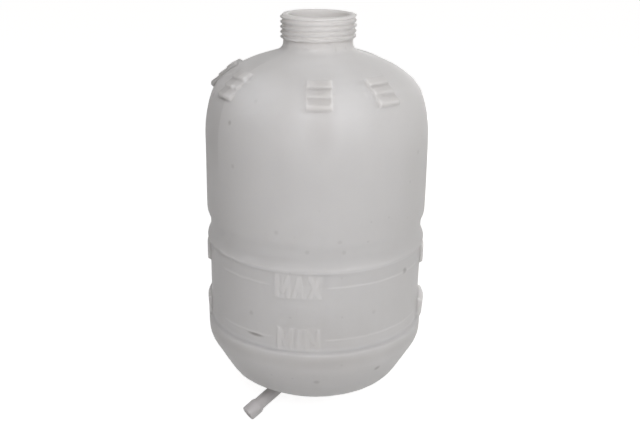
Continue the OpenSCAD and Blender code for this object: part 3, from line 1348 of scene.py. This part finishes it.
@dataclass
class OutletSpigot:
    """Hose spigot under the base: a pipe with a bead at its end, revolved about its own axis.

    Attributes:
        length: Length from the root to the mouth.
        pipe_r: Radius of the pipe.
        bore_r: Radius of the bore.
        bead_r: Radius of the bead.
        bead_len: Length of the bead.
        bead_taper: Length over which the bead rises.
        end_round: Radius of the rounding at its end.
        mouth_bevel: Size of the bevel at the mouth.
        inside: How far the pipe reaches into the tank.
        grain: Distance between the points of its side view.
        corner_reach: How far its corners are eased.
        bend_per_row: Largest bend between two rings, in degrees.
        rows_per_mm: Smallest number of rings to a millimetre.
        uneven: Height of the slow and of the quick unevenness.
        cols: Number of columns.
    """

    length: float = 53.4
    pipe_r: float = 4.5
    bore_r: float = 3.2
    bead_r: float = 5.6
    bead_len: float = 8.4
    bead_taper: float = 2.4
    end_round: float = 1.0
    mouth_bevel: float = 0.3
    inside: float = 8.1
    grain: float = 0.1
    corner_reach: float = 0.2
    bend_per_row: float = 12.0
    rows_per_mm: float = 0.5
    uneven: tuple[float, float] = (0.10, 0.05)
    cols: int = 72

    def half_line(self) -> Array:
        """Side view from the root to the end, and back up the bore.

        Returns:
            (distance, height) rows, the height downwards.
        """
        bead_z = self.length - self.bead_len
        line = np.concatenate([
            [[self.bore_r, -self.inside], [self.pipe_r, -self.inside]],
            [[self.pipe_r, bead_z - self.bead_taper * 1.6]],
            soft_step((self.pipe_r, bead_z - self.bead_taper * 1.3), (self.bead_r, bead_z)),
            arc((self.bead_r - self.end_round, self.length - self.end_round), self.end_round, 0.0, 90.0),
            [[self.bore_r + self.mouth_bevel, self.length], [self.bore_r, self.length - self.mouth_bevel]],
            [[self.bore_r, -self.inside]]])
        return eased(by_length(line, self.grain), self.grain, self.corner_reach)

    def build(self) -> bpy.types.Object:
        """Makes the spigot on the line of its mount.

        Returns:
            The spigot's object.
        """
        mount = next(m for m in frame["record"]["mounts"] if m["name"] == "outlet_spigot")
        axis = np.array(mount["axis"]) / np.linalg.norm(mount["axis"])
        bead_middle = self.length - (self.bead_len + self.end_round) / 2.0
        root = np.array(mount["pos_m"]) / MM - axis * bead_middle
        across = np.cross(axis, [0.0, 0.0, 1.0])
        across /= np.linalg.norm(across)
        beside = np.cross(axis, across)
        fine = self.half_line()
        along = lengths_of(fine)
        angle = np.unwrap(np.arctan2(*np.gradient(fine, axis=0).T))
        density = self.rows_per_mm + np.abs(np.gradient(angle, along)) / math.radians(self.bend_per_row)
        places = spread(density, along)[:-1]
        radius, down = (np.interp(places, along, values)[:, None] for values in fine.T)
        turn = np.linspace(0.0, 2.0 * np.pi, self.cols, endpoint=False)[None, :]
        uneven = self.uneven[0] * (np.sin(2.0 * turn + down / 9.0) - 1.0)
        uneven = uneven + self.uneven[1] * (np.sin(5.0 * turn - down / 3.0) - 1.0)
        radius = radius + uneven * ramp(radius, self.bore_r + 0.2, self.pipe_r)
        points = (root + down[..., None] * axis + (radius * np.cos(turn))[..., None] * across
                  + (radius * np.sin(turn))[..., None] * beside) * MM
        quads = ring_quads(len(places), self.cols, closed=True)
        return Skin(points.reshape(-1, 3), quads).to_object("outlet_spigot")


class NodeBoard:
    """Adds nodes to one tree and joins their sockets."""

    def __init__(self, tree: bpy.types.NodeTree) -> None:
        """Keeps the tree."""
        self.tree = tree

    def feed(self, node: bpy.types.Node, inputs: dict[str | int, object]) -> None:
        """Joins sockets to a node's inputs, or sets the inputs to plain values.

        Args:
            node: The node.
            inputs: Sockets or plain values, by input.
        """
        for key, value in inputs.items():
            if isinstance(value, Socket):
                self.tree.links.new(value, node.inputs[key])
            else:
                node.inputs[key].default_value = value

    def add(self, kind: str, inputs: dict[str | int, object] | None = None,
            **settings: object) -> bpy.types.Node:
        """Adds a node.

        Args:
            kind: Its type.
            inputs: Sockets or plain values for its inputs, by name or number.
            **settings: Its other properties.

        Returns:
            The new node.
        """
        node = self.tree.nodes.new(kind)
        for key, value in settings.items():
            setattr(node, key, value)
        self.feed(node, inputs or {})
        return node

    def math(self, operation: str, first: object, second: object = 0.0) -> Socket:
        """Output of a Math node on two sockets or numbers."""
        return self.add("ShaderNodeMath", {0: first, 1: second}, operation=operation).outputs[0]

    def vector(self, operation: str, first: object, second: object = None) -> Socket:
        """Output of a Vector Math node: the length for LENGTH, or else a vector.

        Args:
            operation: What the node does.
            first: A vector.
            second: Another one, the factor for SCALE, or None where only one is used.

        Returns:
            The node's output.
        """
        inputs = {0: first}
        if second is not None:
            inputs["Scale" if operation == "SCALE" else 1] = second
        node = self.add("ShaderNodeVectorMath", inputs, operation=operation)
        return node.outputs["Value" if operation == "LENGTH" else "Vector"]

    def remap(self, value: Socket, low: float, high: float,
              to_low: float = 0.0, to_high: float = 1.0) -> Socket:
        """Result of a smooth Map Range node."""
        limits = {"Value": value, "From Min": low, "From Max": high, "To Min": to_low, "To Max": to_high}
        return self.add("ShaderNodeMapRange", limits, interpolation_type="SMOOTHSTEP").outputs["Result"]

    def noise(self, place: Socket, scale: float, detail: float = 2.0) -> Socket:
        """Value of a noise between 0 and 1."""
        inputs = {"Vector": place, "Scale": scale, "Detail": detail}
        return self.add("ShaderNodeTexNoise", inputs).outputs["Fac"]

    def waver(self, strength: Socket, place: Socket, scale: float, detail: float = 2.0) -> Socket:
        """Noise about 0, times a strength."""
        return self.math("MULTIPLY", self.math("SUBTRACT", self.noise(place, scale, detail), 0.5), strength)

    def mix(self, share: Socket, first: object, second: object) -> Socket:
        """Colour between two others."""
        return self.add("ShaderNodeMix", {0: share, 6: first, 7: second}, data_type="RGBA").outputs[2]

    def split(self, vector: Socket) -> bpy.types.bpy_prop_collection:
        """The three parts of a vector, by name."""
        return self.add("ShaderNodeSeparateXYZ", {"Vector": vector}).outputs

    def wall_map(self) -> Socket:
        """Place on the map of the unrolled wall."""
        return self.add("ShaderNodeUVMap", uv_map=WALL_MAP).outputs["UV"]

    def own_place(self) -> Socket:
        """Place in the object's own space."""
        return self.add("ShaderNodeTexCoord").outputs["Object"]

    def attribute(self, name: str, output: str) -> Socket:
        """Output of a mesh attribute."""
        return self.add("ShaderNodeAttribute", attribute_name=name).outputs[output]

    def use(self, group: bpy.types.NodeTree, inputs: dict[str, object] | None = None) -> Socket:
        """The one output of a node group, with its inputs fed."""
        return self.add("ShaderNodeGroup", inputs, node_tree=group).outputs[0]


class GroupBoard(NodeBoard):
    """Board of a new node group with one output."""

    def __init__(self, name: str, output: str, inputs: dict[str, float | None] | None = None,
                 kind: str = NUMBER) -> None:
        """Makes the group.

        Args:
            name: Name of the group.
            output: Name of its output.
            inputs: Starting value of each input by name, or None for a vector.
            kind: Socket kind of the output.
        """
        super().__init__(bpy.data.node_groups.new(name, "ShaderNodeTree"))
        for label, value in (inputs or {}).items():
            socket_kind = VECTOR if value is None else NUMBER
            socket = self.tree.interface.new_socket(name=label, in_out="INPUT", socket_type=socket_kind)
            if value is not None:
                socket.default_value = value
        self.tree.interface.new_socket(name=output, in_out="OUTPUT", socket_type=kind)
        self.given = self.add("NodeGroupInput").outputs

    def gives(self, result: Socket) -> bpy.types.NodeTree:
        """Joins the result to the group's output, and returns the group."""
        self.add("NodeGroupOutput", {0: result})
        return self.tree


def flow_tone_group() -> bpy.types.NodeTree:
    """Cloudy tone of a blown wall: slow clouds plus faint streaks drawn along the axis.

    The output is a factor close to 1 that multiplies the plastic's colour.

    Returns:
        The group.
    """
    board = GroupBoard("blown_wall_tone", "Tone", {"Cloud": 0.03, "Streak": 0.015})
    place = board.own_place()
    drawn = board.add("ShaderNodeMapping", {"Vector": place, "Scale": (90.0, 90.0, 7.0)}).outputs["Vector"]
    clouds = board.waver(board.given["Cloud"], place, 28.0, 4.0)
    streaks = board.waver(board.given["Streak"], drawn, 1.0, 3.0)
    return board.gives(board.math("ADD", board.math("ADD", clouds, streaks), 1.0))


def moulded_grain_group() -> bpy.types.NodeTree:
    """Height of the moulded skin: a fine blasted grain over shallow flow dimples.

    Returns:
        The group.
    """
    board = GroupBoard("moulded_grain", "Height", {"Dimple": 0.6, "Grain": 0.4})
    place = board.own_place()
    dimples = board.math("MULTIPLY", board.noise(place, 260.0), board.given["Dimple"])
    grain = board.math("MULTIPLY", board.noise(place, 2200.0), board.given["Grain"])
    return board.gives(board.math("ADD", dimples, grain))


def calm_normal_group() -> bpy.types.NodeTree:
    """Normal of the diffuse light: the true normal drawn towards the calm one.

    Light wanders sideways in milky plastic, so its shading follows the wide
    shape of the wall more than its small reliefs. The result is
    N (1 - share |c|) + share c, made one long, where c is the calm normal.

    Returns:
        The group.
    """
    board = GroupBoard("calm_normal", "Normal", {"Share": 0.6}, VECTOR)
    share = board.given["Share"]
    calm = board.attribute(CALM_NORMAL, "Vector")
    turned = board.add("ShaderNodeVectorTransform", {"Vector": calm}, vector_type="VECTOR",
                       convert_from="OBJECT", convert_to="WORLD").outputs["Vector"]
    rest = board.math("SUBTRACT", 1.0, board.math("MULTIPLY", board.vector("LENGTH", calm), share))
    true_normal = board.add("ShaderNodeNewGeometry").outputs["Normal"]
    total = board.vector("ADD", board.vector("SCALE", true_normal, rest),
                         board.vector("SCALE", turned, share))
    return board.gives(board.vector("NORMALIZE", total))


def seam_shade_group(shell: TankShell, reach: float = 55.0, edge: tuple[float, float] = (-1.0, 0.4),
                     start: tuple[float, float] = (-25.0, 8.0),
                     end: tuple[float, float] = (-12.0, -4.0)) -> bpy.types.NodeTree:
    """Mask of painted shade on the wall beyond the mould seam, on the shoulder.

    It has a sharp edge at the seam and fades away on its other sides.

    Args:
        shell: The shell whose map it lies on.
        reach: How far it goes round the wall.
        edge: Where its sharp edge starts and ends, from the seam.
        start: From the shoulder's foot, the heights between which it grows.
        end: From the neck's foot, the heights between which it fades.

    Returns:
        The group.
    """
    board = GroupBoard("seam_shade", "Mask")
    parts = board.split(board.wall_map())
    section = shell.section
    seam = math.radians(MouldSeam.az) * section.wall_r * MM
    beyond = board.remap(parts["X"], seam + edge[0] * MM, seam + edge[1] * MM, 1.0, 0.0)
    near = board.remap(parts["X"], seam - reach * MM, seam)
    grows = [shell.along_of(section.shoulder_z + height) * MM for height in start]
    fades = [shell.along_of(section.neck_z + height) * MM for height in end]
    above = board.remap(parts["Y"], *grows)
    below = board.remap(parts["Y"], *fades, 1.0, 0.0)
    return board.gives(board.math("MULTIPLY", board.math("MULTIPLY", beyond, near),
                                  board.math("MULTIPLY", above, below)))


def soft_line_group() -> bpy.types.NodeTree:
    """Mask of a thin line round the wall, soft on both sides.

    Returns:
        The group.
    """
    board = GroupBoard("lit_edge", "Mask", {"Along": 0.1, "Half": 0.001})
    along = board.split(board.wall_map())["Y"]
    apart = board.math("ABSOLUTE", board.math("SUBTRACT", along, board.given["Along"]))
    return board.gives(board.remap(board.math("DIVIDE", apart, board.given["Half"]), 0.0, 1.0, 1.0, 0.0))


def spot_group() -> bpy.types.NodeTree:
    """Mask of one oval spot on the wall's map, with a ragged soft edge.

    The distance from the centre is measured in half sizes and disturbed by a
    fine noise. The mask is 1 inside and falls to 0 at the edge.

    Returns:
        The group.
    """
    # Mask for dirt spots and for patches of painted light and painted shade
    board = GroupBoard("dirt_spot", "Mask", {"Centre": None, "Half Size": None, "Ragged": 0.2})
    place = board.wall_map()
    apart = board.vector("SUBTRACT", place, board.given["Centre"])
    halves = board.vector("LENGTH", board.vector("DIVIDE", apart, board.given["Half Size"]))
    distance = board.math("ADD", halves, board.waver(board.given["Ragged"], place, 900.0))
    return board.gives(board.remap(distance, 0.2, 1.15, 1.0, 0.0))


def stray_speck_group() -> bpy.types.NodeTree:
    """Mask of small stray specks: one dot in some cells of a random cell pattern.

    Returns:
        The group.
    """
    board = GroupBoard("stray_specks", "Mask", {"Radius": 0.06, "Share": 0.25})
    inputs = {"Vector": board.wall_map(), "Scale": 62.0}
    cells = board.add("ShaderNodeTexVoronoi", inputs, voronoi_dimensions="2D").outputs
    luck = board.add("ShaderNodeSeparateColor", {"Color": cells["Color"]}).outputs
    dot = board.remap(board.math("DIVIDE", cells["Distance"], board.given["Radius"]), 0.1, 1.3, 1.0, 0.0)
    chosen = board.math("LESS_THAN", luck["Red"], board.given["Share"])
    return board.gives(board.math("MULTIPLY", dot, board.math("MULTIPLY", chosen, luck["Green"])))


@dataclass(frozen=True)
class WallSpot:
    """A spot on the wall, dark or, if negative, light; its height is above the foot band."""

    az: float
    height: float
    half_wide: float
    half_tall: float
    dark: float


@dataclass(frozen=True)
class WallRing:
    """A soft line round the wall: height, half width and how dark it is, or how light if that is negative."""

    height: float
    half: float
    dark: float


@dataclass(frozen=True)
class MilkyPolyethylene:
    """Natural polyethylene as blown: milky, satin and translucent.

    Attributes:
        name: Name of the material.
        colour: Base colour, linear.
        dirt: Colour of specks and scuffs, and of painted shade, linear.
        painted_light: Colour of painted light, linear.
        roughness: Middle roughness of the skin.
        gloss: Strength of its plain reflection.
        depth: How far light wanders under the skin, in metres.
        grain: Strength of the moulded grain.
        cloud: Strength of the slow clouds.
        streak: Strength of the streaks along the axis.
        calm: How much of the light follows the calm normal.
        shine: Strength of the clear satin skin.
        seam_shade: How dark the painted shade is beyond the seam.
        speck_dark: How dark the stray specks are.
    """

    name: str
    colour: tuple[float, float, float] = (0.662, 0.649, 0.635)
    # Colour mixed in for dirt and for painted shade, then the colour mixed in for painted light
    dirt: tuple[float, float, float] = (0.20, 0.18, 0.165)
    painted_light: tuple[float, float, float] = (0.92, 0.91, 0.90)
    roughness: float = 0.52
    gloss: float = 0.28
    depth: float = 0.009
    grain: float = 0.12
    cloud: float = 0.05
    streak: float = 0.03
    calm: float = 0.92
    shine: float = 0.25
    seam_shade: float = 0.10
    speck_dark: float = 0.16

    def build(self, groups: dict[str, bpy.types.NodeTree], shell: TankShell | None = None,
              spots: tuple[WallSpot, ...] = (), rings: tuple[WallRing, ...] = ()) -> bpy.types.Material:
        """Makes the material.

        Args:
            groups: The shared node groups by name.
            shell: The shell whose map the spots and rings lie on, or None for a plain piece.
            spots: Dirt spots, and patches of painted light and painted shade, to place.
            rings: Lines of painted light and painted shade round the wall.

        Returns:
            The new material.
        """
        material = bpy.data.materials.new(self.name)
        material.use_nodes = True
        board = NodeBoard(material.node_tree)
        tone = board.use(groups["tone"], {"Cloud": self.cloud, "Streak": self.streak})
        # The colour is darkened by the painted relief shade and lightened by its painted light
        kept = board.math("SUBTRACT", 1.0, board.attribute(PAINTED_RELIEF_SHADING, "Fac"))
        colour = board.vector("SCALE", self.colour, board.math("MULTIPLY", tone, kept))
        # Dirt spots, and patches of painted light and painted shade
        for spot in spots:
            round_wall = math.radians(spot.az) * shell.section.wall_r
            along = shell.along_of(shell.section.foot_top + spot.height)
            mask = board.use(groups["spot"], {"Centre": (round_wall * MM, along * MM, 0.0),
                                              "Half Size": (spot.half_wide * MM, spot.half_tall * MM, 1.0)})
            colour = self.changed(board, colour, mask, spot.dark)
        if shell:
            # Painted shade on the wall beyond the mould seam
            colour = self.changed(board, colour, board.use(groups["seam"]), self.seam_shade)
            colour = self.changed(board, colour, board.use(groups["specks"]), self.speck_dark)
        # Lines of painted light and painted shade round the wall
        for ring in rings:
            along = shell.along_of(ring.height)
            mask = board.use(groups["edge"], {"Along": along * MM, "Half": ring.half * MM})
            colour = self.changed(board, colour, mask, ring.dark)
        bump = board.add("ShaderNodeBump", {"Strength": self.grain, "Distance": GRAIN_HEIGHT,
                                            "Height": board.use(groups["grain"])})
        if shell:
            board.feed(bump, {"Normal": board.use(groups["calm"], {"Share": self.calm})})
        board.feed(material.node_tree.nodes["Principled BSDF"], {
            "Base Color": colour,
            "Roughness": board.remap(tone, 0.97, 1.03, self.roughness - 0.04, self.roughness + 0.05),
            "IOR": 1.5,
            "Specular IOR Level": self.gloss,
            "Subsurface Weight": 1.0,
            "Subsurface Radius": (1.0, 0.985, 0.955),
            "Subsurface Scale": self.depth,
            "Coat Weight": self.shine,
            "Coat Roughness": 0.42,
            "Normal": bump.outputs["Normal"],
        })
        return material

    def changed(self, board: NodeBoard, colour: Socket, mask: Socket, dark: float) -> Socket:
        """Mixes the colour of dirt and painted shade, or the painted light colour for a negative share, over
        a colour by a mask.
        """
        over = self.dirt if dark > 0.0 else self.painted_light
        return board.mix(board.math("MULTIPLY", mask, abs(dark)), colour, (*over, 1.0))


@dataclass(frozen=True)
class SoftLamp:
    """A square soft lamp: its name, place, side, power and colour. It points at the tank's middle."""

    name: str
    place: tuple[float, float, float]
    side: float
    power: float
    colour: tuple[float, float, float] = (1.0, 1.0, 1.0)
    aim: tuple[float, float, float] = (0.0, 0.0, 0.10)

    def build(self) -> None:
        """Adds the lamp to the scene."""
        data = bpy.data.lights.new(self.name, "AREA")
        data.shape = "RECTANGLE"
        data.size = data.size_y = self.side
        data.energy = self.power
        data.color = self.colour
        lamp = in_scene(self.name, data)
        direction = Vector(self.aim) - Vector(self.place)
        lamp.rotation_euler = direction.to_track_quat("-Z", "Y").to_euler()
        lamp.location = self.place


@dataclass
class Studio:
    """Pale floor, white surroundings, soft lamps and the camera."""

    camera_place: tuple[float, float, float] = (2.814, -594.828, 251.73)
    pitch_down: float = 19.382
    roll: float = 0.8666
    focal_px: float = 930.0
    frame_px: float = 640.0
    floor_gap: float = 0.5
    floor_size: float = 14.0
    floor_glow: float = 0.80
    left_surround: tuple[float, float, float] = (0.185, 0.179, 0.176)
    right_surround: tuple[float, float, float] = (0.474, 0.459, 0.449)
    lamps: tuple[SoftLamp, ...] = (
        SoftLamp("right_high", (0.42, -0.55, 0.62), 0.45, 0.64, (0.96, 1.0, 0.98)),
        SoftLamp("front_high", (0.05, -0.75, 0.55), 0.35, 4.70, (0.99, 0.98, 1.0)),
        SoftLamp("right_side", (0.86, 0.34, 0.25), 0.50, 0.45, (1.0, 0.98, 0.96)),
        SoftLamp("back_low", (0.28, 0.86, 0.10), 0.50, 1.10),
    )

    def camera(self) -> None:
        """Places the camera: pitched down along +Y, then rolled about its own view line."""
        data = bpy.data.cameras.new("camera")
        data.sensor_width = 36.0
        data.lens = self.focal_px / self.frame_px * data.sensor_width
        data.clip_start = 0.01
        data.clip_end = 50.0
        pitch = math.radians(self.pitch_down)
        ahead = Vector((0.0, math.cos(pitch), -math.sin(pitch)))
        right = Vector((1.0, 0.0, 0.0))
        up = right.cross(ahead)
        cos_roll, sin_roll = math.cos(math.radians(self.roll)), math.sin(math.radians(self.roll))
        rolled_right = right * cos_roll + up * sin_roll
        rolled_up = up * cos_roll - right * sin_roll
        turn = Matrix((rolled_right, rolled_up, -ahead)).transposed().to_4x4()
        camera = in_scene("camera", data)
        camera.matrix_world = Matrix.Translation(Vector(self.camera_place) * MM) @ turn
        bpy.context.scene.camera = camera

    def floor(self) -> None:
        """Lays a pale floor just under the lowest point."""
        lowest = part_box(NODE)[0][2] - self.floor_gap * MM
        half = self.floor_size / 2.0
        mesh = bpy.data.meshes.new("floor")
        corners = [(x, y, lowest) for x, y in ((-half, -half), (half, -half), (half, half), (-half, half))]
        mesh.from_pydata(corners, [], [(0, 1, 2, 3)])
        material = bpy.data.materials.new("pale_floor")
        material.use_nodes = True
        board = NodeBoard(material.node_tree)
        board.feed(material.node_tree.nodes["Principled BSDF"], {
            "Base Color": (0.6, 0.6, 0.6, 1.0),
            "Roughness": 0.9,
            "Specular IOR Level": 0.0,
            "Emission Color": WHITE,
            "Emission Strength": board.math("MULTIPLY", self.seen_straight(board), self.floor_glow),
        })
        mesh.materials.append(material)
        in_scene("floor", mesh)

    @staticmethod
    def seen_straight(board: NodeBoard) -> Socket:
        """1 for rays that the camera sees straight, in a mirror or through glass.

        Args:
            board: Board of the tree that asks.

        Returns:
            The mask.
        """
        path = board.add("ShaderNodeLightPath").outputs
        mirrored = board.math("MAXIMUM", path["Is Glossy Ray"], path["Is Transmission Ray"])
        return board.math("MAXIMUM", path["Is Camera Ray"], mirrored)

    def world(self) -> None:
        """Surrounds the scene with an even white.

        The light that it casts is weaker, and fades from the right to the
        left: the share of the right colour is (1 + x) / 2 of the direction.
        """
        world = bpy.data.worlds.new("white_surround")
        bpy.context.scene.world = world
        world.use_nodes = True
        board = NodeBoard(world.node_tree)
        x = board.split(board.add("ShaderNodeTexCoord").outputs["Generated"])["X"]
        share = board.math("MULTIPLY", board.math("ADD", x, 1.0), 0.5)
        cast = board.mix(share, (*self.left_surround, 1.0), (*self.right_surround, 1.0))
        colour = board.mix(self.seen_straight(board), cast, WHITE)
        board.feed(world.node_tree.nodes["Background"], {"Color": colour})

    def build(self) -> None:
        """Sets up the whole studio and the plain view transform."""
        self.camera()
        self.floor()
        self.world()
        for lamp in self.lamps:
            lamp.build()
        bpy.context.scene.view_settings.view_transform = "Standard"


# Dirt specks, a scuff and two painted highlights (the negative ones): azimuth, height above the foot band,
# half width, half height, darkness
MARKS = (
    WallSpot(-31.4, 9.2, 7.2, 1.55, 0.62),
    WallSpot(-47.7, 143.9, 1.9, 1.9, 0.34),
    WallSpot(54.2, 46.6, 2.8, 2.6, 0.42),
    WallSpot(36.0, -15.9, 3.0, 2.8, 0.40),
    WallSpot(1.9, -21.2, 2.8, 2.6, 0.28),
    # Painted highlights: glints at the tread ends of the stepped pad beside the left mould seam
    WallSpot(-48.0, 167.0, 4.2, 1.9, -0.5),
    WallSpot(-53.5, 162.5, 3.6, 1.7, -0.5),
    WallSpot(-33.9, 23.4, 2.0, 2.0, 0.20),
    WallSpot(32.1, 25.7, 1.8, 1.8, 0.12),
    WallSpot(-18.9, 81.5, 1.9, 1.9, 0.14),
    WallSpot(-3.8, 69.5, 1.9, 1.9, 0.15),
    WallSpot(14.6, 68.9, 1.9, 1.9, 0.17),
    WallSpot(12.0, 76.5, 2.0, 1.8, 0.14),
    WallSpot(-74.5, 154.7, 2.0, 2.0, 0.20),
    WallSpot(-33.6, 158.9, 1.9, 1.9, 0.16),
    WallSpot(-44.0, 118.0, 1.9, 1.9, 0.18),
    WallSpot(60.3, 124.2, 2.0, 2.0, 0.12),
    WallSpot(53.9, 195.0, 2.2, 1.8, 0.14),
    WallSpot(49.8, 184.5, 2.8, 1.6, 0.16),
    WallSpot(29.0, 184.0, 3.4, 2.0, 0.15),
)
# Wide soft patches of painted light (negative) and painted shade (positive) on the wall
PAINTED_LIGHT_AND_SHADE = (
    WallSpot(-36.5, 163.1, 27.0, 21.0, -0.36),
    WallSpot(18.5, 164.2, 19.0, 33.0, -0.20),
    WallSpot(4.0, 4.0, 48.0, 30.0, 0.13),
    WallSpot(2.0, 177.0, 52.0, 13.0, -0.20),
    WallSpot(2.5, 152.0, 11.5, 26.0, 0.15),
)


def hand_over(piece: bpy.types.Object, material: bpy.types.Material) -> None:
    """Gives a finished piece its material and body, and hides the node's imported part.

    Args:
        piece: The piece.
        material: What it is made of.
    """
    piece.data.materials.append(material)
    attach(piece, "root")
    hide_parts(NODE)
    LOG.info("%s: %d faces", piece.name, len(piece.data.polygons))


def main() -> None:
    """Builds every piece in order, then the studio."""
    logging.basicConfig(level=logging.INFO, format="%(name)s: %(message)s")
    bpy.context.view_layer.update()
    section = HalfSection()
    shell = TankShell(section)
    groups = {"tone": flow_tone_group(), "grain": moulded_grain_group(), "spot": spot_group(),
              "specks": stray_speck_group(), "edge": soft_line_group(),
              "calm": calm_normal_group(), "seam": seam_shade_group(shell)}
    # Painted highlights along the bead's lower edge and the foot band's top edge, painted light above the
    # foot step, and painted shade on the foot band
    rings = (
        WallRing(section.bead_z - 1.6, 1.5, -0.20),
        WallRing(section.foot_top + 0.4, 1.2, -0.16),
        WallRing(section.foot_top + 2.8, 2.8, -0.28),
        WallRing(section.foot_top - 4.5, 6.5, 0.11),
    )
    wall = MilkyPolyethylene("milky_wall").build(groups, shell, MARKS + PAINTED_LIGHT_AND_SHADE, rings)
    pipe = MilkyPolyethylene("milky_pipe", colour=(0.56, 0.545, 0.545), depth=0.002).build(groups)
    hand_over(shell.build(), wall)
    hand_over(OutletSpigot().build(), pipe)
    Studio().build()


if __name__ == "__main__":
    main()
